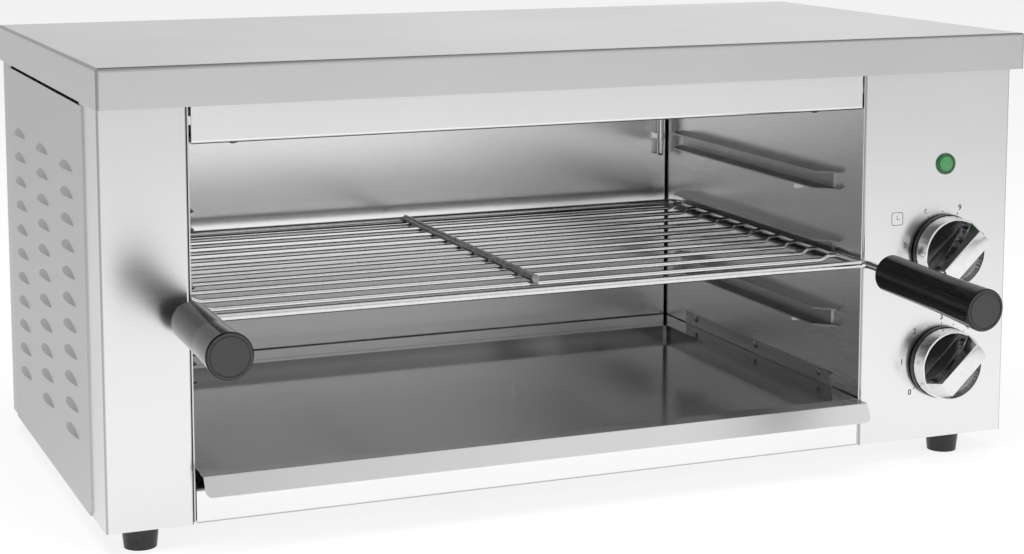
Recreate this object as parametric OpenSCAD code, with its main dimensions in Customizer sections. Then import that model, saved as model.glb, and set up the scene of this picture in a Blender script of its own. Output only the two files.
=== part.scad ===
// Counter-top cheese melter: an open-fronted electric grill in folded stainless sheet.
// X runs left to right, Y front to back, Z up. The origin is on the counter, under the
// middle of the whole object, rack handles included. All sizes are in millimetres.

/* [Cabinet] */
// Width of the lid, left to right
lid_w = 610; // [590:1:630]
// Depth of the lid, front to back
lid_d = 322; // [318:1:330]
// Height of the lid's top above the counter
total_h = 280; // [278:1:286]
// Height of the folded skirt round the lid
skirt_h = 23.5; // [20:0.5:25]
// How far the lid stands out in front of the cabinet
lid_over_front = 5.5; // [4:0.5:8]
// How far the lid stands out at the right
lid_over_right = 7; // [5:0.5:9]
// How far the lid stands out at the back
lid_over_back = 10; // [9:0.5:12]
// Height of the feet
foot_h = 14; // [12:0.5:16]
// Thickness of the outer sheet
sheet = 1; // [0.8:0.1:1.2]
// Outer radius of a fold in the outer sheet
fold_r = 2; // [1.5:0.1:2.5]

/* [Front] */
// Width of the plain column at the left
left_column_w = 52; // [46:1:60]
// Width of the control panel at the right
control_w = 110.5; // [104:0.5:118]
// Height of the header strip that shows under the lid
header_h = 22.2; // [19:0.1:24]
// Height of the plinth strip under the tray
plinth_h = 21; // [19:0.5:21.5]
// Gap at each end of the header strip
strip_gap = 1.6; // [1:0.1:2.5]
// Gap at each end of the plinth strip
plinth_gap = 0.6; // [0.5:0.1:2.5]
// How far the columns' outer folds run back
column_return = 46; // [42:1:50]

/* [Cavity] */
// Depth of the cooking cavity behind the front face
cavity_d = 281.5; // [279:0.5:282]
// Thickness of the cavity sheet
liner = 0.8; // [0.6:0.1:1]
// Height of the top rails above the counter
rail_top_z = 190; // [188:0.5:192]
// Height step from one pair of rails to the next
rail_pitch = 45.5; // [45:0.5:47]
// Length of a rack rail
rail_len = 230; // [224:1:234]
// Height of a rail's channel
rail_h = 12; // [11.5:0.1:12.5]
// Depth of a rail's flanges
rail_d = 12; // [11:0.5:12]

/* [Rack] */
// Diameter of the rack's frame wire
frame_wire = 5; // [4.6:0.1:5]
// Diameter of the cross wires
cross_wire = 3; // [2.6:0.1:3.2]
// Number of evenly spaced cross wires
cross_count = 9; // [7:1:9]
// Distance between cross wires
cross_pitch = 25; // [24:0.5:25]
// Length of a handle grip
grip_len = 97; // [90:1:100]
// Diameter of a grip at its front end
grip_front_d = 26; // [24:0.5:27]
// Diameter of a grip at its rear end
grip_rear_d = 20; // [19:0.5:22]
// How far the grips reach out in front of the lid
grip_reach = 129; // [126:1:131]
// How far the front wire stands out at the left of the rack before it bends forwards
wire_out_left = 8; // [5:0.5:9]
// How far the front wire stands out at the right of the rack before it bends forwards
wire_out_right = 2; // [1.5:0.5:4]
// Bare wire between the left bend and its grip
bare_left = 1; // [0.5:0.5:6]
// Bare wire between the right bend and its grip
bare_right = 22; // [18:1:24]
// Outward slant of the handles, in degrees
handle_splay = 2.5; // [1:0.5:4]
// Droop of the left handle towards its front, in degrees
left_handle_drop = -1; // [-1.5:0.5:3]
// Droop of the right handle towards its front, in degrees
right_handle_drop = 3; // [-1.5:0.5:4]

/* [Tray] */
// Depth of the tray's pan
tray_h = 7.5; // [6:0.5:7.5]
// Height of the tray's rim above the counter
tray_rim_z = 45.7; // [45.5:0.1:47]
// Width of the front lip's slanting face
lip_w = 13; // [11:0.5:14]
// Slant of the front lip below the level, in degrees
lip_angle = 60; // [55:1:66]

/* [Controls] */
// Diameter of a knob's skirt
knob_d = 47; // [46:1:52]
// How far a knob's grip bar stands out of the panel
knob_h = 28; // [25:1:30]
// Width of a knob's grip bar at its face
knob_bar_w = 12; // [11:0.5:14]
// Slant of the grip bars from the level when the knobs stand at zero, in degrees
knob_rest = 43; // [40:1:46]
// Height of the timer knob's centre
timer_z = 139; // [136:0.5:142]
// Height of the regulator knob's centre
regulator_z = 64.5; // [62:0.5:68]
// Height of the pilot lamp's centre
lamp_z = 196; // [190:0.5:200]

/* [Vents] */
// Length of a louvre
louvre_len = 40; // [34:1:42]
// Height of a louvre
louvre_h = 4.6; // [4:0.2:5.4]
// How far a louvre's hood stands out
louvre_bulge = 2.2; // [1.8:0.1:2.4]
// Height step from one louvre to the next
louvre_pitch = 16; // [15:0.1:16]
// Number of louvres in a column
louvre_rows = 11; // [8:1:11]

/* [Hidden] */

$fn = 48;
steel = [0.80, 0.80, 0.80];
liner_steel = [0.66, 0.66, 0.67];
tray_steel = [0.50, 0.50, 0.51];
wire_steel = [0.74, 0.74, 0.75];
chrome = [0.86, 0.86, 0.87];
zinc = [0.62, 0.62, 0.60];
black_plastic = [0.07, 0.07, 0.07];
lamp_green = [0.12, 0.55, 0.28];
ceramic = [0.90, 0.88, 0.82];

// Front to back: the lid and the grips' reach share the space round the origin.
lid_front = (grip_reach - lid_d) / 2;
lid_back = lid_front + lid_d;
face_y = lid_front + lid_over_front;
back_y = lid_back - lid_over_back;
cavity_back = face_y + cavity_d;

// Left to right: the side panels lap over the columns' folds, one sheet proud.
left_x = sheet - lid_w / 2;
right_x = lid_w / 2 - lid_over_right;
open_l = left_x + left_column_w;
open_r = right_x - control_w;
mid_x = (open_l + open_r) / 2;
open_half = (open_r - open_l) / 2;

// Bottom to top
skirt_z = total_h - skirt_h;
header_z = skirt_z - header_h;
lid_under = total_h - sheet;
column_top = lid_under - 3;
base_t = 1.2;
base_top = foot_h + base_t;
flange = 12;

// Fixings between the lid and the cavity walls, and under the header
stud_y = [face_y + 40, cavity_back - 40];
stud_r = 2;
stud_in = flange / 2 + 1;
stud_x = [open_l - stud_in, open_r + stud_in];
header_fold = 26;
header_screw_in = 29;
header_screw_x = [open_l + header_screw_in, open_r - header_screw_in];
header_screw_y = face_y + 13;
bracket_t = 1.2;

// Side panels and their louvres: each louvre is cut from a wide cone of radius louvre_r.
side_front = face_y + 36;
side_back = back_y - 22;
side_top = skirt_z - 2;
louvre_y = [face_y + 86.5, face_y + 164.5, face_y + 242.5];
louvre_z = 55;
louvre_r = (louvre_len * louvre_len / 4 + louvre_bulge * louvre_bulge) / (2 * louvre_bulge);

// Back panel
gland_z = 44;
gland_hole_r = 8;
cable_r = 4;
back_screw_x = [left_x + 60, mid_x, right_x - 60];
back_screw_z = foot_h + 7;
back_slots = 6;
back_slot_pitch = 12;
back_slot_top = 200;

// Gap in the cavity's two rear corners
corner_gap = 1.1;

// Heating elements: two hairpins, cold ends at the right
element_r = 4;
element_bend = 28;
element_z = 246;
element_rows = [face_y + 71, face_y + 191];
element_turn_x = open_l + 18;
element_end_x = open_r + 14;
element_legs = [for (row = element_rows, side = [-1, 1]) row + side * element_bend];
support_x = [mid_x - 120, mid_x + 60];
reflector_z = 258;

// Over-temperature limiter: its bulb stands in the cavity's rear right corner.
bulb_r = 2.4;
bulb_len = 78;
bulb_x = open_r - 8;
bulb_y = cavity_back - 5;
bulb_low = 169;
bulb_clips = [182, 236];
capillary_r = 0.9;

// Rails: a channel with its web on the wall. The wall's tongues pass through slots in
// the web, and the wall's hooks carry the lower flange.
rail_t = 1;
rail_front = face_y + 28.5;
rail_levels = [rail_top_z, rail_top_z - rail_pitch, rail_top_z - 2 * rail_pitch];
tongue_y = [rail_front + 68, rail_front + 155];
hook_y = [rail_front + 54, rail_front + 183];
tab_t = 1;
tongue = rail_t + 0.3;
tab_h = 6;

// Rack: its side wires slide on the middle rails' lower flanges.
rack_gap = 0.3;
frame_r = frame_wire / 2;
cross_r = cross_wire / 2;
weld = 0.4;
rack_z = rail_levels[1] - rail_h + rail_t + frame_r + rack_gap;
rack_half = open_half - rail_t - frame_r - 0.5;
rack_front = face_y - 9.5;
rack_back = face_y + 257.5;
frame_bend = 9;
cross_first = face_y + 22.5;
cross_rear = face_y + 245;
cross_lift = 0.3;
cross_dip = 2.4;
cross_bend = 8;
cross_end = 5.5;
wire_bend = 6;
front_wire = [rack_half + wire_out_left - wire_bend, rack_half + wire_out_right - wire_bend];
rod_in_grip = 55;
rod_in_wire = 4;

// Tray
tray_t = 0.8;
tray_half = open_half - 1.6;
pan_half = tray_half - 16;
pan_front = face_y + 0.5;
pan_back = face_y + 243;
tray_back = cavity_back - 3;
lip_y = face_y - 12.5;
guide_gap = 0.2;
guide_t = 1;
guide_d = 10;
guide_z = tray_rim_z - tray_t - guide_gap;
guide_front = face_y + 34.5;
guide_len = 210;
guide_up = 10.5;
guide_screw_y = [guide_front + 15, guide_front + 102, guide_front + 193];
guide_screw_z = guide_z + 7.7;

// Controls
control_x = right_x - 48.5;
knob_lift = 1.2;
knob_base_h = 2.8;
skirt_top = 15;
scoop_floor = 8;
shaft_r = 3;
bush_r = 5;
running = 0.05;
housing = [46, 32, 46];
lamp_r = 6;

// Feet
foot_top_r = 11;
foot_bottom_r = 9.5;
foot_recess = 7;
foot_x = [left_x + 23, right_x - 35];
foot_y = [face_y + 16.5, back_y - 19];

// ---- shared shapes ----

// Box between two corners, each axis given as [low, high]
module block(x, y, z) {
    translate([x[0], y[0], z[0]]) cube([x[1] - x[0], y[1] - y[0], z[1] - z[0]]);
}

// Rectangle whose corner at the origin is rounded
module one_round_rect(w, d, r) {
    translate([r, 0]) square([w - r, d]);
    translate([0, r]) square([w, d - r]);
    translate([r, r]) circle(r);
}

// Rectangle whose two corners on the y = 0 side are rounded
module two_round_rect(w, d, r) {
    translate([0, r]) square([w, d - r]);
    translate([r, 0]) square([w - 2 * r, d]);
    for (x = [r, w - r]) translate([x, r]) circle(r);
}

// Rectangle with four rounded corners, centred
module round_rect(w, h, r) {
    square([w - 2 * r, h], center = true);
    square([w, h - 2 * r], center = true);
    for (x = [-1, 1], y = [-1, 1]) translate([x * (w / 2 - r), y * (h / 2 - r)]) circle(r);
}

// Slot with round ends, centred, lying along x
module slot(length, width) {
    square([length - width, width], center = true);
    for (x = [-1, 1]) translate([x * (length - width) / 2, 0]) circle(width / 2);
}

// Sheet folded to an angle, its outer corner at the origin
module angle_section(a, b, t, r) {
    difference() {
        one_round_rect(a, b, r);
        translate([t, t]) one_round_rect(a, b, r - t);
    }
}

// Sheet folded to a channel: web on y = 0, two legs that run to +y
module channel_section(w, left_leg, right_leg, t, r) {
    deep = max(left_leg, right_leg);
    difference() {
        two_round_rect(w, deep, r);
        translate([t, t]) two_round_rect(w - 2 * t, deep, r - t);
        if (left_leg < deep) translate([-1, left_leg]) square([w / 2, deep]);
        if (right_leg < deep) translate([w / 2, right_leg]) square([w, deep]);
    }
}

// Box whose upright corners and top edges are rounded, from the origin
module soft_top_box(w, d, h, r) {
    intersection() {
        linear_extrude(h) translate([w / 2, d / 2]) round_rect(w, d, r);
        translate([0, d, 0]) rotate([90, 0, 0]) linear_extrude(d)
            translate([0, h]) mirror([0, 1]) two_round_rect(w, h, r);
        rotate([90, 0, 90]) linear_extrude(w)
            translate([0, h]) mirror([0, 1]) two_round_rect(d, h, r);
    }
}

// Round bar that starts along +Y and turns in the XY plane. A step is [length] for a
// straight or [radius, angle] for a bend; a positive angle turns towards -X.
module bent_bar(r, steps, i = 0) {
    if (i < len(steps)) {
        s = steps[i];
        if (len(s) == 1) {
            rotate([-90, 0, 0]) cylinder(r = r, h = s[0]);
            translate([0, s[0], 0]) bent_bar(r, steps, i + 1);
        } else {
            side = s[1] > 0 ? -1 : 1;
            turn = abs(s[1]);
            translate([side * s[0], 0, 0]) {
                rotate([0, 0, side > 0 ? 180 - turn : 0])
                    rotate_extrude(angle = turn) translate([s[0], 0]) circle(r);
                rotate([0, 0, -side * turn]) translate([-side * s[0], 0, 0])
                    bent_bar(r, steps, i + 1);
            }
        }
    }
}

// Pan-head screw: the head stands on z = 0 and the shank points down
module pan_screw(head_r, head_h, shank_r, shank_l) {
    difference() {
        union() {
            intersection() {
                cylinder(r = head_r, h = head_h);
                translate([0, 0, head_h - 1.5 * head_r]) sphere(1.5 * head_r);
            }
            translate([0, 0, -shank_l]) cylinder(r = shank_r, h = shank_l);
        }
        for (a = [0, 90]) rotate(a)
            translate([-0.6 * head_r, -0.35, head_h - 0.8]) cube([1.2 * head_r, 0.7, 2]);
    }
}

module hex_nut(flats, h, bore_r) {
    difference() {
        cylinder(d = flats / cos(30), h = h, $fn = 6);
        translate([0, 0, -1]) cylinder(r = bore_r, h = h + 2);
    }
}

// ---- cabinet ----

// Lid: top and skirt folded from one sheet, corners welded and dressed, studs beneath
module lid() {
    color(steel) {
        difference() {
            translate([-lid_w / 2, lid_front, skirt_z])
                soft_top_box(lid_w, lid_d, skirt_h, fold_r + 0.6);
            translate([-lid_w / 2 + sheet, lid_front + sheet, skirt_z - 1])
                soft_top_box(lid_w - 2 * sheet, lid_d - 2 * sheet, skirt_h - sheet + 1,
                    fold_r + 0.6 - sheet);
        }
        for (x = stud_x, y = stud_y)
            translate([x, y, lid_under - 8]) cylinder(r = stud_r, h = 8.2);
    }
}

module left_column() {
    color(steel) translate([left_x, face_y, foot_h]) linear_extrude(column_top - foot_h)
        channel_section(left_column_w - liner, column_return, flange, sheet, fold_r);
}

module control_panel() {
    color(steel) difference() {
        translate([open_r + liner, face_y, foot_h]) linear_extrude(column_top - foot_h)
            channel_section(control_w - liner, flange, column_return, sheet, fold_r);
        for (z = [timer_z, regulator_z]) panel_hole(z, bush_r + 0.2);
        panel_hole(lamp_z, lamp_r + 0.1);
    }
}

module panel_hole(z, r) {
    translate([control_x, face_y - 1, z]) rotate([-90, 0, 0]) cylinder(r = r, h = sheet + 2);
}

// Header: face, a fold that runs back at its foot, and a small stiffening fold
module header_strip() {
    height = column_top - header_z;
    color(steel) difference() {
        translate([open_l + strip_gap, face_y, header_z]) rotate([90, 0, 90])
            linear_extrude(open_r - open_l - 2 * strip_gap) {
                angle_section(header_fold, height, sheet, fold_r);
                translate([header_fold - sheet, 0]) square([sheet, 8]);
            }
        for (x = header_screw_x)
            translate([x, header_screw_y, header_z - 1]) cylinder(r = 2.2, h = 4);
    }
}

// Brackets that carry the header: a leg on the wall and a leg on the header's fold
module header_brackets() {
    color(liner_steel) for (side = [-1, 1])
        translate([mid_x, face_y + 5, header_z + sheet]) on_side(side) difference() {
            union() {
                block([open_half - 38, open_half], [0, 16], [0, bracket_t]);
                block([open_half - bracket_t, open_half], [0, 16], [0, 20]);
            }
            translate([open_half - header_screw_in, 8, -1]) cylinder(r = 1.8, h = 4);
        }
}

// The same shape on the right (1) or mirrored on the left (-1)
module on_side(side) {
    mirror([side < 0 ? 1 : 0, 0, 0]) children();
}

module header_screws() {
    color(zinc) for (x = header_screw_x)
        translate([x, header_screw_y, header_z]) rotate([180, 0, 0])
            pan_screw(3.6, 2.2, 1.8, 6);
}

// Base pan: floor, upturned flanges, and the plinth folded up and back at the front
module base_pan() {
    floor_x = [left_x + sheet, right_x - sheet];
    floor_y = [face_y + sheet, back_y - sheet];
    plinth_x = [open_l + plinth_gap, open_r - plinth_gap];
    color(steel) difference() {
        union() {
            block(floor_x, floor_y, [foot_h, base_top]);
            block([floor_x[0], floor_x[0] + base_t], [face_y + 8, floor_y[1]], [foot_h, foot_h + flange]);
            block([floor_x[1] - base_t, floor_x[1]], [face_y + 8, floor_y[1]], [foot_h, foot_h + flange]);
            block(floor_x, [floor_y[1] - base_t, floor_y[1]], [foot_h, foot_h + flange]);
            translate([plinth_x[0], face_y, foot_h]) rotate([90, 0, 90])
                linear_extrude(plinth_x[1] - plinth_x[0]) mirror([1, -1])
                    channel_section(plinth_h, 40, 14, base_t, fold_r);
        }
        // Relief at the corners, where the columns and the back panel are folded
        for (x = floor_x, y = floor_y)
            translate([x, y, foot_h - 1]) cylinder(r = 1.6, h = flange + 2);
        // Room for the inner folds of the two columns
        for (fold = [[open_l - liner - 1.6, plinth_x[0]], [plinth_x[1], open_r + liner + 1.6]])
            block(fold, [face_y - 1, face_y + flange + 0.5], [foot_h - 1, base_top + 1]);
        for (x = foot_x, y = foot_y)
            translate([x, y, foot_h - 1]) cylinder(r = 2.7, h = base_t + 2);
        for (x = [-1, 0, 1], y = [-1, 0, 1])
            translate([mid_x + x * 130, (face_y + back_y) / 2 + y * 60, foot_h - 1])
                linear_extrude(base_t + 2) slot(44, 5);
        for (x = back_screw_x)
            translate([x, back_y, back_screw_z]) rotate([90, 0, 0]) cylinder(r = 1.6, h = 6);
    }
}

// ---- side and back panels ----

// Side panel for the right side: inner face on x = 0, louvres pressed out towards +x.
// A louvre is a strip of a wide cone that leaves the sheet at its top and stands out
// at its foot, so that it is open downwards and runs out to nothing at both ends.
module side_panel() {
    difference() {
        union() {
            block([0, sheet], [side_front, side_back], [foot_h, side_top]);
            at_louvres() intersection() {
                louvre_cone(0);
                block([0, sheet + louvre_bulge], [-louvre_len / 2 - 2, louvre_len / 2 + 2], [0, louvre_h]);
            }
        }
        at_louvres() louvre_cone(0.8);
        block([-1, sheet + 1], [side_front - 1, side_front + 3], [foot_h - 1, foot_h + 3]);
    }
}

module at_louvres() {
    for (y = louvre_y, i = [0 : louvre_rows - 1])
        translate([0, y, louvre_z - louvre_h / 2 + i * louvre_pitch]) children();
}

module louvre_cone(inset) {
    translate([sheet + louvre_bulge - louvre_r, 0, 0])
        cylinder(r1 = louvre_r - inset, r2 = louvre_r - louvre_bulge - inset, h = louvre_h, $fn = 96);
}

module left_side_panel() {
    color(steel) translate([left_x, 0, 0]) mirror([1, 0, 0]) side_panel();
}

module right_side_panel() {
    color(steel) translate([right_x, 0, 0]) side_panel();
}

// Back panel: folded at both sides, with two banks of slots and a third behind the controls
module back_panel() {
    wide = right_x - left_x;
    color(steel) difference() {
        translate([right_x, back_y, foot_h]) rotate(180) linear_extrude(column_top - foot_h)
            channel_section(wide, 32, 32, sheet, fold_r);
        for (x = [mid_x - 120, mid_x + 120, control_x], i = [0 : back_slots - 1])
            translate([x, back_y + 1, back_slot_top - i * back_slot_pitch]) rotate([90, 0, 0])
                linear_extrude(sheet + 2) slot(x == control_x ? 50 : 60, 4);
        translate([control_x, back_y + 1, gland_z]) rotate([90, 0, 0])
            cylinder(r = gland_hole_r + 0.1, h = sheet + 2);
        for (x = back_screw_x)
            translate([x, back_y + 1, back_screw_z]) rotate([90, 0, 0]) cylinder(r = 1.8, h = 3);
    }
}

module back_screws() {
    color(zinc) for (x = back_screw_x)
        translate([x, back_y, back_screw_z]) rotate([-90, 0, 0]) pan_screw(3.4, 2, 1.6, 6);
}

// ---- cavity ----

// Right-hand wall: inner face on x = 0, flanges turned out to +x at top and bottom,
// with the rails' tongues and hooks lanced inwards
module cavity_wall() {
    long = [face_y + 0.4, cavity_back + flange];
    difference() {
        union() {
            block([0, liner], long, [base_top, lid_under]);
            block([0, flange], [face_y + flange + 1, long[1]], [base_top, base_top + liner]);
            block([0, flange], long, [lid_under - liner, lid_under]);
            for (z = rail_levels) {
                for (y = tongue_y)
                    block([-tongue, liner], [y - tab_t / 2, y + tab_t / 2], [z - 8.5, z - 2.5]);
                for (y = hook_y) rail_hook(y, z - rail_h);
            }
        }
        for (z = rail_levels) {
            for (y = tongue_y) block([-1, liner + 1], [y + 0.5, y + 4], [z - 8.5, z - 2.5]);
            for (y = hook_y)
                block([-1, liner + 1], [y + 0.5, y + 4], [z - rail_h - tab_h, z - rail_h]);
        }
        for (y = stud_y)
            translate([stud_in, y, lid_under - 3]) cylinder(r = stud_r + 0.2, h = 4);
        for (y = guide_screw_y)
            translate([-1, y, guide_screw_z]) rotate([0, 90, 0]) cylinder(r = 1.5, h = liner + 2);
    }
}

// Hook that carries a rail: it stands out of the wall and turns towards the back
module rail_hook(y, z) {
    block([-3.4, liner], [y - tab_t / 2, y + tab_t / 2], [z - tab_h, z]);
    block([-3.4, -3.4 + tab_t], [y - tab_t / 2, y + 3], [z - tab_h, z]);
}

module cavity_left_wall() {
    color(liner_steel) translate([open_l, 0, 0]) mirror([1, 0, 0]) cavity_wall();
}

module cavity_right_wall() {
    color(liner_steel) difference() {
        translate([open_r, 0, 0]) cavity_wall();
        for (y = element_legs) translate([open_r - 1, y, element_z]) rotate([0, 90, 0])
            cylinder(r = element_r + 1.1, h = liner + 2);
    }
}

module cavity_back_wall() {
    color(liner_steel) {
        translate([open_l + corner_gap, cavity_back, base_top]) linear_extrude(lid_under - base_top)
            channel_section(open_r - open_l - 2 * corner_gap, flange, flange, liner, liner + 0.2);
        block([open_l + 2, open_r - 2], [cavity_back, cavity_back + flange], [base_top, base_top + liner]);
        block([open_l + 2, open_r - 2], [cavity_back, cavity_back + flange], [lid_under - liner, lid_under]);
    }
}

// Reflector above the elements: a plate with its edges turned up against the walls
module reflector_plate() {
    deep = [face_y + sheet, cavity_back];
    color(liner_steel) difference() {
        block([open_l, open_r], deep, [reflector_z, reflector_z + 10]);
        block([open_l + liner, open_r - liner], [deep[0] + liner, deep[1] - liner],
            [reflector_z + liner, reflector_z + 11]);
        translate([bulb_x, bulb_y, reflector_z - 1]) cylinder(r = bulb_r + 0.3, h = 3);
    }
}

// ---- heating ----

// Element: a hairpin with its bend at the left, a pin and a blade on each cold end
module element(row) {
    straight = element_end_x - element_turn_x - element_bend;
    color(zinc) {
        translate([element_end_x, row + element_bend, element_z]) rotate(90)
            bent_bar(element_r, [[straight], [element_bend, 180], [straight]]);
        for (side = [-1, 1])
            translate([element_end_x, row + side * element_bend, element_z]) rotate([0, 90, 0]) {
                cylinder(r = 2, h = 9);
                translate([-3.2, -0.4, 7]) cube([6.4, 0.8, 9]);
            }
    }
}

// Combs that hang from the reflector and hold the elements' legs
module element_supports() {
    low = element_z - element_r - 3;
    color(liner_steel) for (x = support_x) difference() {
        union() {
            block([x, x + 1], [element_legs[0] - 12, element_legs[3] + 12], [low, reflector_z]);
            block([x, x + 10], [element_legs[0] - 12, element_legs[3] + 12], [reflector_z - 1, reflector_z]);
        }
        for (y = element_legs) translate([x - 1, y, element_z]) rotate([0, 90, 0])
            cylinder(r = element_r + 0.1, h = 3);
        for (y = element_rows) block([x - 1, x + 2], [y - 14, y + 14], [low - 1, element_z + 2]);
    }
}

// Bushes that seat the elements' cold ends in the right-hand wall
module element_bushes() {
    color(zinc) for (y = element_legs) translate([open_r, y, element_z]) rotate([0, 90, 0])
        difference() {
            union() {
                translate([0, 0, -1.4]) cylinder(r = 7, h = 1.4);
                cylinder(r = element_r + 1, h = 7);
                translate([0, 0, liner]) hex_nut(14, 3, element_r + 0.5);
            }
            translate([0, 0, -3]) cylinder(r = element_r + 0.05, h = 12);
        }
}

// Over-temperature limiter: a slim bulb in the rear right corner, its capillary led up
// through the reflector, and two clips that hold it off the back wall
module limiter_bulb() {
    color(wire_steel) {
        translate([bulb_x, bulb_y, bulb_low + bulb_r]) {
            sphere(bulb_r);
            cylinder(r = bulb_r, h = bulb_len);
            translate([0, 0, bulb_len]) cylinder(r1 = bulb_r, r2 = capillary_r, h = 3);
        }
        translate([bulb_x, bulb_y, bulb_low + bulb_len])
            cylinder(r = capillary_r, h = reflector_z + 6 - bulb_low - bulb_len);
        for (z = bulb_clips) difference() {
            union() {
                block([bulb_x - 3, bulb_x + 3], [bulb_y, cavity_back], [z, z + 4]);
                translate([bulb_x, bulb_y, z]) cylinder(r = 3, h = 4);
            }
            translate([bulb_x, bulb_y, z - 1]) cylinder(r = bulb_r - 0.2, h = 6);
        }
    }
}

module limiter_housing() {
    y = cavity_back - 70;
    color(ceramic) {
        block([open_r + liner, open_r + liner + 20], [y, y + 30], [196, 226]);
        block([open_r + liner + 20, open_r + liner + 23], [y + 4, y + 26], [200, 222]);
    }
    color(zinc) for (dy = [9, 21], z = [204, 214])
        block([open_r + liner + 22, open_r + liner + 30], [y + dy - 3, y + dy + 3], [z, z + 0.8]);
}

// ---- rack rails and tray guides ----

// Rail for the left side: web on x = 0, flanges towards +x with their ends cut at 45
// degrees, slots for the wall's tongues
module rail(z) {
    translate([0, rail_front, z]) difference() {
        union() {
            block([0, rail_t], [6, rail_len - 6], [-rail_h, 0]);
            for (low = [-rail_h, -rail_t]) translate([0, 0, low]) linear_extrude(rail_t)
                polygon([[0, 0], [rail_d, rail_d], [rail_d, rail_len - rail_d], [0, rail_len]]);
        }
        for (y = tongue_y)
            block([-1, rail_t + 1], [y - rail_front - 0.8, y - rail_front + 0.8], [-8.8, -2.2]);
    }
}

module left_rail(level) {
    color(liner_steel) translate([open_l, 0, 0]) rail(rail_levels[level]);
}

module right_rail(level) {
    color(liner_steel) translate([open_r, 0, 0]) mirror([1, 0, 0]) rail(rail_levels[level]);
}

// Tray guide for the left side: a leaf on the wall and a ledge for the tray's flange
module tray_guide() {
    translate([0, guide_front, guide_z]) difference() {
        union() {
            translate([guide_t, 0, 0]) rotate([0, -90, 0]) linear_extrude(guide_t)
                translate([guide_up, 0]) mirror([1, 0]) one_round_rect(guide_up + guide_t, guide_len, 3);
            block([0, guide_d], [0, guide_len], [-guide_t, 0]);
        }
        for (y = guide_screw_y)
            translate([-1, y - guide_front, guide_screw_z - guide_z]) rotate([0, 90, 0])
                cylinder(r = 1.5, h = guide_t + 2);
    }
}

module tray_guide_left() {
    color(liner_steel) translate([open_l, 0, 0]) tray_guide();
}

module tray_guide_right() {
    color(liner_steel) translate([open_r, 0, 0]) mirror([1, 0, 0]) tray_guide();
}

module guide_screws() {
    color(zinc) for (side = [-1, 1], y = guide_screw_y)
        translate([mid_x + side * (open_half - guide_t), y, guide_screw_z]) rotate([0, -90 * side, 0])
            pan_screw(2.6, 1.4, 1.5, 5);
}

// ---- drip tray ----

module drip_tray() {
    low = tray_rim_z - tray_h;
    mid_y = (pan_front + pan_back) / 2;
    deep = pan_back - pan_front;
    color(tray_steel) translate([mid_x, 0, 0]) {
        difference() {
            union() {
                block([-tray_half, tray_half], [lip_y, tray_back], [tray_rim_z - tray_t, tray_rim_z]);
                translate([0, mid_y, low - tray_t]) linear_extrude(tray_h + tray_t)
                    round_rect(2 * (pan_half + tray_t), deep + 2 * tray_t, 4 + tray_t);
            }
            translate([0, mid_y, low]) linear_extrude(tray_h + 1)
                round_rect(2 * pan_half, deep, 4);
            // The rear edge is folded down behind a shallow groove
            block([-tray_half - 1, tray_half + 1], [pan_back + 8, pan_back + 8.8],
                [tray_rim_z - 0.3, tray_rim_z + 1]);
        }
        // Front lip: bent down and forward, its lower corners rounded
        translate([0, lip_y, tray_rim_z - tray_t]) intersection() {
            rotate([90, 0, 90]) linear_extrude(2 * tray_half, center = true) lip_bend();
            translate([0, 0, tray_t]) rotate([lip_angle, 0, 0])
                linear_extrude(4, center = true) lip_outline();
        }
    }
}

// Side view of the lip: a skin round the space behind and under it
module lip_bend() {
    run = lip_w + 3;
    difference() {
        offset(r = tray_t) behind_lip(run);
        behind_lip(run);
    }
}

module behind_lip(run) {
    low = -run * sin(lip_angle);
    polygon([[4, 0], [0, 0], [-run * cos(lip_angle), low], [4, low]]);
}

module lip_outline() {
    r = 4;
    hull() {
        translate([-tray_half, 0]) square([2 * tray_half, 3]);
        for (side = [-1, 1]) translate([side * (tray_half - r), r - lip_w]) circle(r);
    }
}

// ---- rack ----

// Rack: bent frame, front wire, cross wires that dip between the rails, centre bar
module wire_rack() {
    side_len = rack_back - rack_front - frame_bend;
    back_len = 2 * (rack_half - frame_bend);
    color(wire_steel) translate([mid_x, 0, rack_z]) {
        translate([-rack_half, rack_front, 0]) bent_bar(frame_r,
            [[side_len], [frame_bend, -90], [back_len], [frame_bend, -90], [side_len]]);
        translate([-front_wire[0], rack_front, 0]) rotate([0, 90, 0])
            cylinder(r = frame_r, h = front_wire[0] + front_wire[1]);
        for (i = [0 : cross_count - 1]) cross_bar(cross_first + i * cross_pitch);
        cross_bar(cross_rear);
        centre_bar();
    }
}

// Cross wire: welded to both side wires, dipping below them between the rails
module cross_bar(y) {
    turn = acos(1 - cross_dip / (2 * cross_bend));
    middle = 2 * (rack_half - cross_end - 2 * cross_bend * sin(turn));
    translate([-rack_half, y, cross_lift]) rotate([-90, -90, 0]) bent_bar(cross_r,
        [[cross_end], [cross_bend, turn], [cross_bend, -turn], [middle],
            [cross_bend, -turn], [cross_bend, turn], [cross_end]]);
}

// Centre bar: lies on the cross wires, its rear end butted against the frame
module centre_bar() {
    front = cross_first - 4;
    translate([0, front, cross_lift - cross_dip + cross_r + frame_r - weld]) rotate([-90, 0, 0])
        cylinder(r = frame_r, h = rack_back - 1.4 - front);
}

// Handles: each end of the rack's front wire bends forwards into a moulded grip.
// Frame at the end of the front wire: +y runs on along the wire
module at_wire_end(side) {
    out = side < 0 ? front_wire[0] : front_wire[1];
    drop = side < 0 ? left_handle_drop : right_handle_drop;
    translate([mid_x, rack_front, rack_z]) on_side(side) translate([out, 0, 0])
        rotate([drop, 0, 0]) rotate([0, 0, -90]) children();
}

function bare_wire(side) = side < 0 ? bare_left : bare_right;

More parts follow.
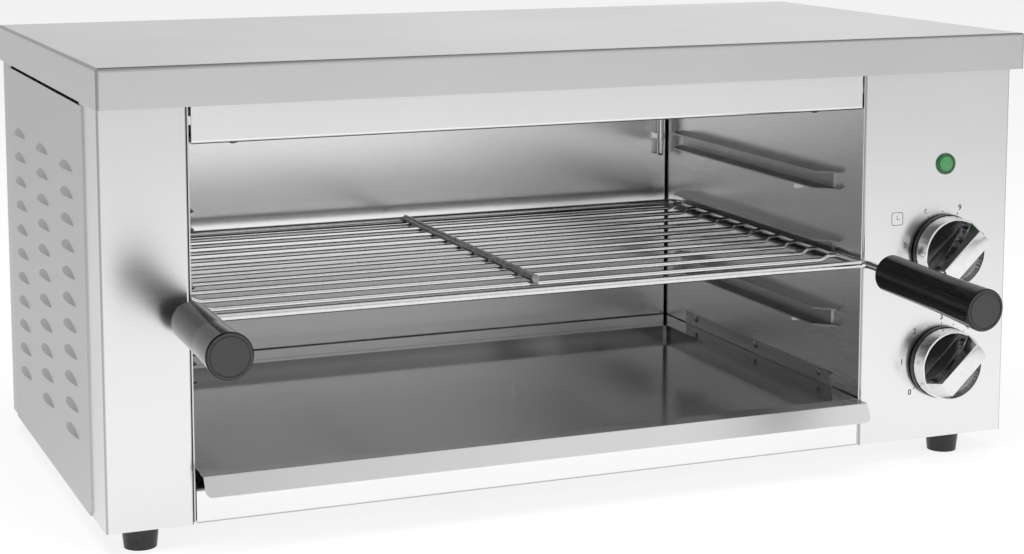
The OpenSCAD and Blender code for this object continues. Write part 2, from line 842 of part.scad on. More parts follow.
module handle_rod(side) {
    color(wire_steel) at_wire_end(side) {
        translate([0, -rod_in_wire, 0]) rotate([-90, 0, 0]) cylinder(r = 1.6, h = rod_in_wire + 1);
        bent_bar(frame_r, [[wire_bend, handle_splay - 90], [bare_wire(side) + rod_in_grip]]);
    }
}

// Frame at a grip's rear end: +z runs forwards along the handle
module at_grip(side) {
    at_wire_end(side)
        translate([wire_bend * (1 - sin(handle_splay)), wire_bend * cos(handle_splay), 0])
        rotate([0, 0, handle_splay - 90]) rotate([-90, 0, 0])
        translate([0, 0, bare_wire(side)]) children();
}

module grip(side) {
    rear_r = grip_rear_d / 2;
    front_r = grip_front_d / 2;
    shoulder = 4;
    edge = 1.2;
    color(black_plastic) at_grip(side) difference() {
        rotate_extrude() {
            polygon([[0, shoulder], [rear_r, shoulder], [front_r, grip_len - edge],
                [front_r - edge, grip_len - edge], [0, grip_len - edge]]);
            square([rear_r - shoulder, shoulder + 1]);
            intersection() {
                translate([rear_r - shoulder, shoulder]) circle(shoulder);
                square([rear_r, shoulder + 1]);
            }
            square([front_r - edge, grip_len]);
            intersection() {
                translate([front_r - edge, grip_len - edge]) circle(edge);
                translate([0, grip_len - edge - 1]) square([front_r, edge + 1]);
            }
        }
        translate([0, 0, -1]) cylinder(r = frame_r + 0.02, h = rod_in_grip + 2);
        // Line round the end cap
        translate([0, 0, grip_len - 0.5]) difference() {
            cylinder(r = front_r - 1.9, h = 1);
            translate([0, 0, -1]) cylinder(r = front_r - 2.5, h = 3);
        }
    }
}

// ---- controls ----

// Local frame of a control: origin on the panel's face, +z out of the panel, +y up
module at_control(z) {
    translate([control_x, face_y, z]) rotate([90, 0, 0]) children();
}

// Switch behind the panel, with the threaded bush that clamps it there
module switch_housing(z, deep) {
    color(black_plastic) at_control(z) difference() {
        union() {
            translate([0, 0, -sheet - deep]) linear_extrude(deep) round_rect(housing[0], housing[2], 4);
            translate([0, 0, -sheet]) cylinder(r = bush_r, h = sheet + 4.4);
        }
        translate([0, 0, -21]) cylinder(r = shaft_r + running, h = 30);
    }
    color(zinc) at_control(z) for (x = [-14, 0, 14], y = [-10, 10])
        translate([x - 3, y - 0.4, -sheet - deep - 8]) cube([6, 0.8, 8]);
}

module bush_nut(z) {
    color(zinc) at_control(z) hex_nut(14, 2.4, bush_r);
}

// Spindle with a flat at its front end
module spindle(z) {
    color(zinc) at_control(z) difference() {
        translate([0, 0, -20]) cylinder(r = shaft_r, h = 42);
        translate([-shaft_r, 2, 12]) cube([2 * shaft_r, 4, 12]);
    }
}

// Black ring between the panel and the knob
module knob_base(z) {
    color(black_plastic) at_control(z) translate([0, 0, knob_lift]) difference() {
        cylinder(r = knob_d / 2 + 0.4, h = knob_base_h);
        translate([0, 0, -1]) cylinder(r = 9.5, h = knob_base_h + 2);
    }
}

// Knob: a skirt scooped out on both sides of a bar that narrows to its front edge
module knob(z) {
    low = knob_lift + knob_base_h;
    r = knob_d / 2;
    rim = 1.6;
    bar_foot = knob_bar_w / 2 + 1.3;
    color(chrome) at_control(z) rotate(knob_rest) difference() {
        union() {
            difference() {
                cylinder_from(low, skirt_top, r, r - 0.5);
                cylinder_from(scoop_floor, skirt_top + 1, r - 3.2, r - rim);
            }
            intersection() {
                translate([-r, 0, 0]) rotate([90, 0, 90]) linear_extrude(2 * r)
                    polygon([[-bar_foot, low + 1], [bar_foot, low + 1], [knob_bar_w / 2, knob_h],
                        [-knob_bar_w / 2, knob_h]]);
                cylinder_from(low, knob_h, r + 2.6, r - 5.2);
                cylinder_from(low, knob_h, r - 0.5, r - 0.5);
            }
        }
        cylinder_from(low - 1, low + 1.8, 21, 21);
        cylinder_from(0, 23, shaft_r + 0.02, shaft_r + 0.02);
    }
}

module cylinder_from(low, high, r1, r2) {
    translate([0, 0, low]) cylinder(r1 = r1, r2 = r2, h = high - low);
}

module lamp_bezel() {
    color(lamp_green) at_control(lamp_z) difference() {
        union() {
            cylinder_from(0, 1.4, lamp_r + 1.2, lamp_r + 0.8);
            cylinder_from(-22, 0, lamp_r, lamp_r);
            for (x = [-2, 2]) translate([x - 0.4, -2, -30]) cube([0.8, 4, 9]);
        }
        cylinder_from(-4, 2, lamp_r - 1, lamp_r - 1);
    }
}

module lamp_lens() {
    dome = 9.5;
    color(lamp_green) at_control(lamp_z) intersection() {
        cylinder_from(-4, 3, lamp_r - 1, lamp_r - 1);
        translate([0, 0, 2.6 - dome]) sphere(dome);
    }
}

module terminal_block() {
    y = cavity_back - 40;
    color(ceramic) difference() {
        block([control_x - 28, control_x + 28], [y, y + 24], [base_top, base_top + 20]);
        for (i = [-1, 0, 1]) {
            translate([control_x + i * 17, y - 1, base_top + 8]) rotate([-90, 0, 0])
                cylinder(r = 3, h = 26);
            translate([control_x + i * 17, y + 12, base_top + 12]) cylinder(r = 2.4, h = 10);
        }
        for (side = [-1, 1]) block([control_x + side * 8.5 - 1, control_x + side * 8.5 + 1],
            [y - 1, y + 25], [base_top + 10, base_top + 21]);
    }
}

// Gland for the mains lead: dome outside, thread through the back panel, nut inside
module cable_gland() {
    color(black_plastic) translate([control_x, back_y, gland_z]) rotate([-90, 0, 0]) difference() {
        union() {
            cylinder_from(0, 3, 11, 11);
            cylinder_from(3, 8.5, 9.6, 7);
            cylinder_from(-12, 0, gland_hole_r, gland_hole_r);
            translate([0, 0, -sheet - 4]) hex_nut(22, 4, gland_hole_r);
        }
        cylinder_from(-13, 10, cable_r, cable_r);
    }
}

// ---- feet and fixings ----

module foot(i, j) {
    color(black_plastic) translate([foot_x[i], foot_y[j], 0]) difference() {
        cylinder(r1 = foot_bottom_r, r2 = foot_top_r, h = foot_h);
        translate([0, 0, -1]) cylinder(r = 5.5, h = foot_recess + 1);
        cylinder(r = 2.6, h = foot_h + 1);
    }
}

module foot_screws() {
    color(zinc) for (x = foot_x, y = foot_y) translate([x, y, 0]) {
        translate([0, 0, foot_recess]) rotate([180, 0, 0]) pan_screw(4.6, 2.8, 2.5, 14);
        translate([0, 0, base_top]) hex_nut(8, 3.2, 2.5);
    }
}

module lid_nuts() {
    color(zinc) for (x = stud_x, y = stud_y)
        translate([x, y, lid_under - liner - 3.2]) hex_nut(7, 3.2, stud_r);
}

lid();
left_column();
control_panel();
header_strip();
header_brackets();
base_pan();
left_side_panel();
right_side_panel();
back_panel();
cavity_left_wall();
cavity_right_wall();
cavity_back_wall();
reflector_plate();
element(element_rows[0]);  // front_element
element(element_rows[1]);  // rear_element
element_supports();
element_bushes();
limiter_bulb();
limiter_housing();
left_rail(0);  // rail_left_top
left_rail(1);  // rail_left_middle
left_rail(2);  // rail_left_bottom
right_rail(0);  // rail_right_top
right_rail(1);  // rail_right_middle
right_rail(2);  // rail_right_bottom
tray_guide_left();
tray_guide_right();
drip_tray();
wire_rack();
handle_rod(-1);  // handle_rod_left
handle_rod(1);  // handle_rod_right
grip(-1);  // grip_left
grip(1);  // grip_right
switch_housing(timer_z, 34);  // timer_housing
bush_nut(timer_z);  // timer_nut
spindle(timer_z);  // timer_shaft
knob_base(timer_z);  // timer_knob_base
knob(timer_z);  // timer_knob
switch_housing(regulator_z, 30);  // regulator_housing
bush_nut(regulator_z);  // regulator_nut
spindle(regulator_z);  // regulator_shaft
knob_base(regulator_z);  // regulator_knob_base
knob(regulator_z);  // regulator_knob
lamp_bezel();
lamp_lens();
terminal_block();
cable_gland();
foot(0, 0);  // foot_front_left
foot(1, 0);  // foot_front_right
foot(0, 1);  // foot_rear_left
foot(1, 1);  // foot_rear_right
foot_screws();
lid_nuts();
guide_screws();
header_screws();
back_screws();
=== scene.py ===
# A counter-top cheese melter, dressed for its picture: a brushed steel cabinet, a wire rack
# with black grips, a drip tray, heating elements, and a control panel with printed dials.
import bpy
import math
from mathutils import Matrix, Vector


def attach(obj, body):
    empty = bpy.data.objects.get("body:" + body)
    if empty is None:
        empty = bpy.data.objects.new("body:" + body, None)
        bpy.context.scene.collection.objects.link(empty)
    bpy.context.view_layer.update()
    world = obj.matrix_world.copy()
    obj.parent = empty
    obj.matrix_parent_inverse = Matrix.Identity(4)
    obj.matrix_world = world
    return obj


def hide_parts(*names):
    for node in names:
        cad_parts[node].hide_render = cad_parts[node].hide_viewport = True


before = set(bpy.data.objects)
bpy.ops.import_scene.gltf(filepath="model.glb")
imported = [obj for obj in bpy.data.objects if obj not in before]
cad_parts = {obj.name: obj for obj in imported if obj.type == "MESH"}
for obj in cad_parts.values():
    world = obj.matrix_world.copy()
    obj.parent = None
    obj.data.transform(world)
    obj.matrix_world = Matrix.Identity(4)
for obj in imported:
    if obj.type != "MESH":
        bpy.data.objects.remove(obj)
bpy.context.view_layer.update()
scene = bpy.context.scene
scene.view_settings.view_transform = "Standard"

# ---- the photographer's camera ----
# It stands a little above the lid and to the left, and looks slightly down. The lens is
# long, and its small shift is what the picture's framing needs.
camera_data = bpy.data.cameras.new("camera")
camera = bpy.data.objects.new("camera", camera_data)
scene.collection.objects.link(camera)
scene.camera = camera
image_width = 1024
focal_pixels = 2183.5
shift_pixels = -140
camera_data.sensor_width = 36
camera_data.lens = focal_pixels * camera_data.sensor_width / image_width
camera_data.shift_y = shift_pixels / image_width
camera_data.clip_start = 0.05
camera_data.clip_end = 30
camera_turn = math.radians(22.365)
camera_dip = math.radians(7.554)
camera.location = (-0.54662, -1.28437, 0.40003)
camera.rotation_euler = (math.pi / 2 - camera_dip, 0, -camera_turn)


# ---- the studio: surround, table and lamps ----
# A white table whose far parts fall into grey, a surround that is darker above the front
# of the object, and three large soft lamps: above, at the left and at the front.
def add_node(tree, kind, inputs=None, **settings):
    """Adds a node; an input is given as a value or as another node's output."""
    node = tree.nodes.new(kind)
    for name, value in settings.items():
        setattr(node, name, value)
    for name, value in (inputs or {}).items():
        if isinstance(value, bpy.types.NodeSocket):
            tree.links.new(value, node.inputs[name])
        else:
            node.inputs[name].default_value = value
    return node


def grey_ramp(tree, fac, stops):
    """Grey levels at places from 0 to 1."""
    node = add_node(tree, "ShaderNodeValToRGB", {"Fac": fac})
    ramp = node.color_ramp
    while len(ramp.elements) < len(stops):
        ramp.elements.new(0.5)
    for element, (place, grey) in zip(ramp.elements, stops):
        element.position = place
        element.color = (grey, grey, grey, 1)
    return node.outputs["Color"]


world = bpy.data.worlds.new("studio")
scene.world = world
world.use_nodes = True
tree = world.node_tree
tree.nodes.clear()
toward = add_node(tree, "ShaderNodeTexCoord").outputs["Generated"]
split = add_node(tree, "ShaderNodeSeparateXYZ", {0: toward})
height = add_node(tree, "ShaderNodeMapRange", {"Value": split.outputs["Z"], "From Min": -1.0})
depth = add_node(tree, "ShaderNodeMapRange", {"Value": split.outputs["Y"], "From Min": -0.5,
                                              "From Max": 0.5})
front_left = grey_ramp(tree, height.outputs[0], [(0.49, 0.85), (0.53, 0.80), (0.59, 0.55),
                                                 (0.645, 0.14), (0.92, 0.12), (1.0, 0.5)])
front_right = grey_ramp(tree, height.outputs[0], [(0.49, 0.85), (0.53, 0.80), (0.60, 0.60),
                                                  (0.70, 0.72), (0.77, 1.0), (0.96, 1.0),
                                                  (1.0, 0.6)])
sideways = add_node(tree, "ShaderNodeMapRange", {"Value": split.outputs["X"], "From Min": -0.1,
                                                 "From Max": 0.35})
front = add_node(tree, "ShaderNodeMix", {"Factor": sideways.outputs[0], "A": front_left,
                                         "B": front_right}, data_type="RGBA").outputs["Result"]
back_left = grey_ramp(tree, height.outputs[0], [(0.49, 0.66), (0.66, 0.66), (0.76, 0.40),
                                                (0.84, 0.12), (0.97, 0.14), (1.0, 0.5)])
back_right = grey_ramp(tree, height.outputs[0], [(0.49, 0.70), (0.53, 0.95), (0.64, 1.0),
                                                 (0.73, 0.50), (0.82, 0.12), (0.94, 0.20),
                                                 (1.0, 0.6)])
back = add_node(tree, "ShaderNodeMix", {"Factor": sideways.outputs[0], "A": back_left,
                                        "B": back_right}, data_type="RGBA").outputs["Result"]
round_about = add_node(tree, "ShaderNodeMix", {"Factor": depth.outputs[0], "A": front,
                                               "B": back}, data_type="RGBA")
rays = add_node(tree, "ShaderNodeLightPath").outputs
shown = add_node(tree, "ShaderNodeMix", {"Factor": rays["Is Camera Ray"],
                 "A": round_about.outputs["Result"], "B": (1, 1, 1, 1)}, data_type="RGBA")
surround = add_node(tree, "ShaderNodeBackground", {"Color": shown.outputs["Result"]})
add_node(tree, "ShaderNodeOutputWorld", {"Surface": surround.outputs[0]})

bpy.ops.mesh.primitive_plane_add(size=14, location=(0, 0, 0))
table = bpy.context.object
table.name = "table"
paper = bpy.data.materials.new("white paper")
paper.use_nodes = True
tree = paper.node_tree
tree.nodes.clear()
spot = add_node(tree, "ShaderNodeTexCoord").outputs["Object"]
ahead = add_node(tree, "ShaderNodeVectorMath", {0: spot, 1: (-0.10, 0.35, 0)}).outputs["Vector"]
away = add_node(tree, "ShaderNodeVectorMath", {0: ahead}, operation="LENGTH").outputs["Value"]
reach = add_node(tree, "ShaderNodeMapRange", {"Value": away, "From Max": 4.0}).outputs[0]
falling = grey_ramp(tree, reach, [(0.0, 0.98), (0.09, 0.97), (0.16, 0.88), (0.24, 0.78),
                                  (0.32, 0.66), (0.50, 0.52), (1.0, 0.42)])
spot_y = add_node(tree, "ShaderNodeSeparateXYZ", {0: spot}).outputs["Y"]
behind = add_node(tree, "ShaderNodeMapRange", {"Value": spot_y, "From Min": -0.1,
                                               "From Max": 0.4})
even = add_node(tree, "ShaderNodeMix", {"Factor": behind.outputs[0], "A": falling,
                "B": (0.66, 0.66, 0.66, 1)}, data_type="RGBA").outputs["Result"]
matt_white = add_node(tree, "ShaderNodeBsdfDiffuse", {"Color": (0.92, 0.92, 0.92, 1)}).outputs[0]
lit = add_node(tree, "ShaderNodeEmission", {"Color": even}).outputs[0]
white = add_node(tree, "ShaderNodeEmission", {"Color": (1, 1, 1, 1)}).outputs[0]
pale = add_node(tree, "ShaderNodeMixShader", {"Fac": 0.2, 1: white, 2: matt_white}).outputs[0]
mirrored = add_node(tree, "ShaderNodeMixShader", {"Fac": 0.25, 1: lit, 2: matt_white}).outputs[0]
rays = add_node(tree, "ShaderNodeLightPath").outputs
to_gloss = add_node(tree, "ShaderNodeMixShader", {"Fac": rays["Is Glossy Ray"], 1: matt_white,
                                                  2: mirrored}).outputs[0]
either = add_node(tree, "ShaderNodeMixShader", {"Fac": rays["Is Camera Ray"], 1: to_gloss, 2: pale})
add_node(tree, "ShaderNodeOutputMaterial", {"Surface": either.outputs[0]})
table.data.materials.append(paper)


def soft_lamp(name, place, aim, width, height, watts):
    """A large lamp that lights the object but does not show in its reflections."""
    data = bpy.data.lights.new(name, "AREA")
    data.shape = "RECTANGLE"
    data.size, data.size_y = width, height
    data.energy = watts
    lamp = bpy.data.objects.new(name, data)
    scene.collection.objects.link(lamp)
    lamp.location = place
    lamp.visible_glossy = False
    lamp.rotation_euler = (Vector(aim) - Vector(place)).to_track_quat("-Z", "Y").to_euler()


soft_lamp("top_lamp", (-0.3, -0.5, 2.2), (0, 0, 0.1), 2.2, 1.6, 50)
soft_lamp("left_lamp", (-2.4, -0.9, 1.3), (0, 0, 0.15), 1.4, 1.4, 20)
soft_lamp("front_lamp", (1.0, -2.6, 1.5), (0, 0, 0.15), 1.6, 1.2, 20)


# ---- lid ----
# One sheet of stainless, folded down on all sides, its corners welded and dressed smooth.
# It is brushed the long way. Studs beneath hold it to the cavity walls.
def start_finish(name, colour, metallic, roughness):
    finish = bpy.data.materials.new(name)
    finish.use_nodes = True
    shader = finish.node_tree.nodes["Principled BSDF"]
    shader.inputs["Base Color"].default_value = (*colour, 1)
    shader.inputs["Metallic"].default_value = metallic
    shader.inputs["Roughness"].default_value = roughness
    return finish, finish.node_tree, shader


def grain(tree, scale, drawn=(1, 1, 1), detail=3.0):
    """Noise in the piece's own space; a share below 1 draws it out along that axis."""
    place = add_node(tree, "ShaderNodeTexCoord").outputs["Object"]
    place = add_node(tree, "ShaderNodeMapping", {"Vector": place, "Scale": drawn}).outputs[0]
    noise = add_node(tree, "ShaderNodeTexNoise", {"Vector": place, "Scale": scale,
                                                  "Detail": detail})
    return noise.outputs["Fac"]


def maths(tree, operation, first, second=0.0, use_clamp=False):
    return add_node(tree, "ShaderNodeMath", {0: first, 1: second}, operation=operation,
                    use_clamp=use_clamp).outputs[0]


def object_place(tree):
    """X, Y and Z of a point in the piece's own space."""
    place = add_node(tree, "ShaderNodeTexCoord").outputs["Object"]
    return add_node(tree, "ShaderNodeSeparateXYZ", {0: place}).outputs


def between(tree, fac, low, high, start=0.3, end=0.7):
    """Goes from low to high while fac goes from start to end."""
    return add_node(tree, "ShaderNodeMapRange", {"Value": fac, "From Min": start, "From Max": end,
                                                 "To Min": low, "To Max": high}).outputs[0]


def total(tree, *terms):
    value = terms[0]
    for term in terms[1:]:
        value = maths(tree, "ADD", value, term)
    return value


def tinted(tree, shader, value, tint=(1, 1, 1)):
    """A grey value turned into the base colour, with a slight tint."""
    grey = add_node(tree, "ShaderNodeCombineColor", {c: value for c in ("Red", "Green", "Blue")})
    mixed = add_node(tree, "ShaderNodeMix", {"Factor": 1.0, "A": grey.outputs[0], "B": (*tint, 1)},
                     data_type="RGBA", blend_type="MULTIPLY")
    tree.links.new(mixed.outputs["Result"], shader.inputs["Base Color"])


def bumped(tree, shader, height, strength, distance=0.0002):
    bump = add_node(tree, "ShaderNodeBump", {"Height": height, "Strength": strength,
                                             "Distance": distance})
    tree.links.new(bump.outputs[0], shader.inputs["Normal"])


def brushed_steel(name, along, grey, roughness, leaning=0.6, marks=0.02, ripple=0.0,
                  relief=0.012):
    """Sheet steel brushed in one direction, with painted shade darkening it at its bends, as
    photographed.

    The brushing spreads reflections across it; marks are its grey hairs, relief their depth,
    and ripple the slow waves of thin sheet.
    """
    finish, tree, shader = start_finish(name, (grey,) * 3, 1.0, roughness)
    drawn_out, slant = 0.006, 0.02
    drawn = [drawn_out if share else 1 for share in along]
    hairs = grain(tree, 1500, drawn)
    bands = grain(tree, 240, drawn, 2.0)
    clouds = grain(tree, 6.5, detail=4.0)
    facing = add_node(tree, "ShaderNodeNewGeometry").outputs["Normal"]
    size = add_node(tree, "ShaderNodeVectorMath", {0: facing}, operation="ABSOLUTE").outputs[0]
    sides = add_node(tree, "ShaderNodeSeparateXYZ", {0: size}).outputs
    flat = maths(tree, "MAXIMUM", maths(tree, "MAXIMUM", sides["X"], sides["Y"]), sides["Z"])
    # Painted shade: the base colour darkens where the face turns off the axes, along the rounded
    # bends.
    painted_bend_shade = between(tree, flat, -0.45 * grey, 0, 0.86, 0.985)
    tinted(tree, shader, total(tree, between(tree, hairs, grey - marks, grey + marks), painted_bend_shade,
           between(tree, bands, -marks / 2, marks / 2), between(tree, clouds, -0.01, 0.01)),
           (1, 1, 0.995))
    rough = total(tree, between(tree, clouds, roughness - 0.02, roughness + 0.02),
                  between(tree, hairs, -marks, 1.5 * marks))
    tree.links.new(rough, shader.inputs["Roughness"])
    brushing = [share or slant for share in along]
    across = add_node(tree, "ShaderNodeVectorMath", {0: facing, 1: brushing},
                      operation="CROSS_PRODUCT").outputs[0]
    tree.links.new(across, shader.inputs["Tangent"])
    shader.inputs["Anisotropic"].default_value = leaning
    height = between(tree, hairs, 0, 0.3)
    if ripple:
        waves = grain(tree, 5, detail=1.0)
        height = total(tree, height, between(tree, waves, 0, ripple))
    bumped(tree, shader, height, relief)
    return finish


def finish_nodes(finish, *names):
    """Gives CAD nodes a finish; their meshes stay as they are."""
    for name in names:
        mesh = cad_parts[name].data
        mesh.materials.clear()
        mesh.materials.append(finish)


finish_nodes(brushed_steel("lid sheet", (1, 0, 0), 0.73, 0.25, marks=0.005), "lid")

# ---- front of the cabinet ----
# Folded channels make the left column and the control panel. The header strip and the
# base pan's folded plinth lie between them. All are brushed the long way of the front.
finish_nodes(brushed_steel("front sheet", (1, 0, 0), 0.86, 0.22, marks=0.006),
             "left_column", "control_panel")
finish_nodes(brushed_steel("strip sheet", (1, 0, 0), 0.94, 0.20, marks=0.006), "header_strip",
             "base_pan")

# ---- side panels and back ----
# The side panels lap over the columns and carry pressed louvres. The back panel closes the
# cabinet. They are the same sheet, brushed from front to back, and along the back.
finish_nodes(brushed_steel("side sheet", (0, 1, 0), 0.67, 0.42, marks=0.006), "left_side_panel",
             "right_side_panel")
finish_nodes(brushed_steel("back sheet", (1, 0, 0), 0.70, 0.34, marks=0.008), "back_panel")

# ---- cavity ----
# Walls of thinner sheet stand on the base pan. The back wall and the reflector above the
# elements are brighter, so that they throw the heat down onto the food.
finish_nodes(brushed_steel("wall sheet", (0, 1, 0), 0.72, 0.24, leaning=0.5, ripple=0.4),
             "cavity_left_wall", "cavity_right_wall")
finish_nodes(brushed_steel("bright wall sheet", (0, 0, 1), 0.98, 0.25, leaning=0.7, marks=0.004,
                           ripple=0.1, relief=0.003),
             "cavity_back_wall", "reflector_plate")
finish_nodes(brushed_steel("bracket sheet", (1, 0, 0), 0.60, 0.30), "header_brackets",
             "element_supports")

# ---- rails and tray guides ----
# Channels with mitred flange ends hang on tongues and hooks of the walls; each tray guide
# is an angle held by three screws. They are bent from the walls' sheet, a little duller.
finish_nodes(brushed_steel("rail sheet", (0, 1, 0), 0.42, 0.34),
             *[f"rail_{side}_{level}" for side in ("left", "right")
               for level in ("top", "middle", "bottom")], "tray_guide_left", "tray_guide_right")

# ---- heating elements ----
# Hairpins of steel-sheathed rod, dulled brown-grey by heat. Bushes seat them in the right-hand
# wall, and a slim limiter bulb stands in the rear corner.
finish, tree, shader = start_finish("heat-dulled sheath", (0.2, 0.19, 0.18), 0.85, 0.45)
patches = grain(tree, 60, (0.3, 1, 1), 5.0)
tinted(tree, shader, between(tree, patches, 0.16, 0.34), (1.0, 0.94, 0.87))
tree.links.new(between(tree, patches, 0.55, 0.38), shader.inputs["Roughness"])
bumped(tree, shader, grain(tree, 900), 0.15, 0.0001)
finish_nodes(finish, "front_element", "rear_element")

finish, tree, shader = start_finish("zinc plating", (0.62, 0.62, 0.60), 1.0, 0.35)
spangle = grain(tree, 420, detail=2.0)
tinted(tree, shader, between(tree, spangle, 0.54, 0.68), (1.0, 1.0, 0.96))
tree.links.new(between(tree, spangle, 0.28, 0.42), shader.inputs["Roughness"])
finish_nodes(finish, "element_bushes", "timer_nut", "timer_shaft", "regulator_nut",
             "regulator_shaft", "foot_screws", "lid_nuts", "guide_screws", "header_screws",
             "back_screws")

finish, tree, shader = start_finish("pale heat-proof body", (0.8, 0.78, 0.72), 0.0, 0.55)
chalk = grain(tree, 160, detail=4.0)
tinted(tree, shader, between(tree, chalk, 0.74, 0.84), (1.0, 0.98, 0.92))
bumped(tree, shader, chalk, 0.2)
finish_nodes(finish, "limiter_housing", "terminal_block")

# ---- drip tray ----
# A pressed pan with an even grey floor and a slanting front lip that carries a painted highlight.
# Its front and left rims have the floor's tone and the other two a darker one, which is painted
# shade. That split only matches the photograph's view and is no finish of the real tray, which is
# one sheet.
finish, tree, shader = start_finish("tray sheet", (0.3, 0.3, 0.3), 1.0, 0.2)
floor_z, rim_z = 0.0386, 0.0440
front_rim_y, left_rim_x = (-0.0910, -0.0905), (-0.2340, -0.2330)
lip_y = (-0.1044, -0.1034)
place = object_place(tree)
floor_tone_share = maths(tree, "MAXIMUM", between(tree, place["Z"], 1.0, 0.0, floor_z, rim_z),
             between(tree, place["Y"], 1.0, 0.0, *front_rim_y))
floor_tone_share = maths(tree, "MAXIMUM", floor_tone_share, between(tree, place["X"], 1.0, 0.0, *left_rim_x))
in_lip = between(tree, place["Y"], 1.0, 0.0, *lip_y)
floor_tone_share = maths(tree, "SUBTRACT", floor_tone_share, in_lip, use_clamp=True)
hairs = grain(tree, 1500, (0.006, 1, 1))
haze = grain(tree, 30, detail=4.0)
# Painted shade darkens the back and right rims, and a painted highlight brightens the lip.
rim_shade_and_lip_highlight = between(tree, in_lip, 0.32, 0.82, 0, 1)
floor_grey = between(tree, haze, 0.40, 0.42)
grey = add_node(tree, "ShaderNodeMix", {"Factor": floor_tone_share, "A": rim_shade_and_lip_highlight, "B": floor_grey})
tinted(tree, shader, total(tree, grey.outputs[0], between(tree, hairs, -0.004, 0.004)))
tree.links.new(between(tree, floor_tone_share, 1.0, 0.85, 0, 1), shader.inputs["Metallic"])
tree.links.new(total(tree, between(tree, in_lip, 0.10, 0.34, 0, 1), between(tree, haze, 0, 0.02)),
               shader.inputs["Roughness"])
bumped(tree, shader, hairs, 0.006)
finish_nodes(finish, "drip_tray")

# ---- rack ----
# Bright drawn wire: a bent frame, ten cross wires and a centre bar, all spot-welded. A rod
# at each front corner carries a grip. The bar's darker tone is painted shade, matched to the
# photograph.
finish, tree, shader = start_finish("bright drawn wire", (0.84, 0.84, 0.84), 1.0, 0.13)
draw_marks = grain(tree, 500, (1, 1, 1), 2.0)
bar_x, bar_side, bar_front_y = -0.03225, (0.0026, 0.0030), (-0.0740, -0.0735)
# Painted shade: the centre bar inside the cavity is made darker than the rest of the wire.
bar_painted_shade = -0.50
place = object_place(tree)
aside = maths(tree, "ABSOLUTE", maths(tree, "SUBTRACT", place["X"], bar_x))
painted_bar_shade = maths(tree, "MULTIPLY", between(tree, aside, 1.0, 0.0, *bar_side),
               between(tree, place["Y"], 0.0, bar_painted_shade, *bar_front_y))
tinted(tree, shader, total(tree, between(tree, draw_marks, 0.72, 0.80), painted_bar_shade))
tree.links.new(between(tree, draw_marks, 0.09, 0.17), shader.inputs["Roughness"])
bumped(tree, shader, draw_marks, 0.02)
finish_nodes(finish, "wire_rack", "handle_rod_left", "handle_rod_right", "limiter_bulb")

# ---- grips ----
# Black heat-proof grips, moulded and polished, pushed onto the rods. A duller cap closes
# the front end.
finish, tree, shader = start_finish("polished black moulding", (0.010, 0.010, 0.010), 0.0, 0.08)
shader.inputs["Specular IOR Level"].default_value = 0.3
facing = add_node(tree, "ShaderNodeNewGeometry").outputs["Normal"]
ahead = add_node(tree, "ShaderNodeSeparateXYZ", {0: facing}).outputs["Y"]
cap = between(tree, ahead, 1.0, 0.0, -0.96, -0.90)
speck = grain(tree, 700, detail=2.0)
tinted(tree, shader, total(tree, between(tree, cap, 0.003, 0.043, 0, 1),
                           between(tree, speck, 0.0, 0.006)))
tree.links.new(total(tree, between(tree, cap, 0.08, 0.28, 0, 1), between(tree, speck, 0, 0.05)),
               shader.inputs["Roughness"])
bumped(tree, shader, grain(tree, 60, detail=2.0), 0.03, 0.0003)
finish_nodes(finish, "grip_left", "grip_right")

# ---- knobs ----
# Die-cast knobs in bright plating, scooped out on both sides of a bar, each on a black ring
# behind its skirt. The scoops' darker tone is matched to the photograph, where they mirror
# something dark; the real plating is probably the same all over.
finish, tree, shader = start_finish("bright plating", (0.80, 0.80, 0.81), 1.0, 0.10)
dust = grain(tree, 300, detail=4.0)
scooped = add_node(tree, "ShaderNodeAttribute", attribute_name="scooped").outputs["Fac"]
bright = between(tree, dust, 0.80, 0.86)
# Painted reflection: the plating in the scoops is a darker grey.
scoop_painted_reflection = between(tree, dust, 0.28, 0.34)
tone = add_node(tree, "ShaderNodeMix", {"Factor": scooped, "A": bright, "B": scoop_painted_reflection}).outputs[0]
tinted(tree, shader, tone, (0.99, 0.99, 1.0))
tree.links.new(between(tree, dust, 0.08, 0.14), shader.inputs["Roughness"])
bumped(tree, shader, dust, 0.02, 0.0001)
face_y = -0.0910
control_x = 0.2495


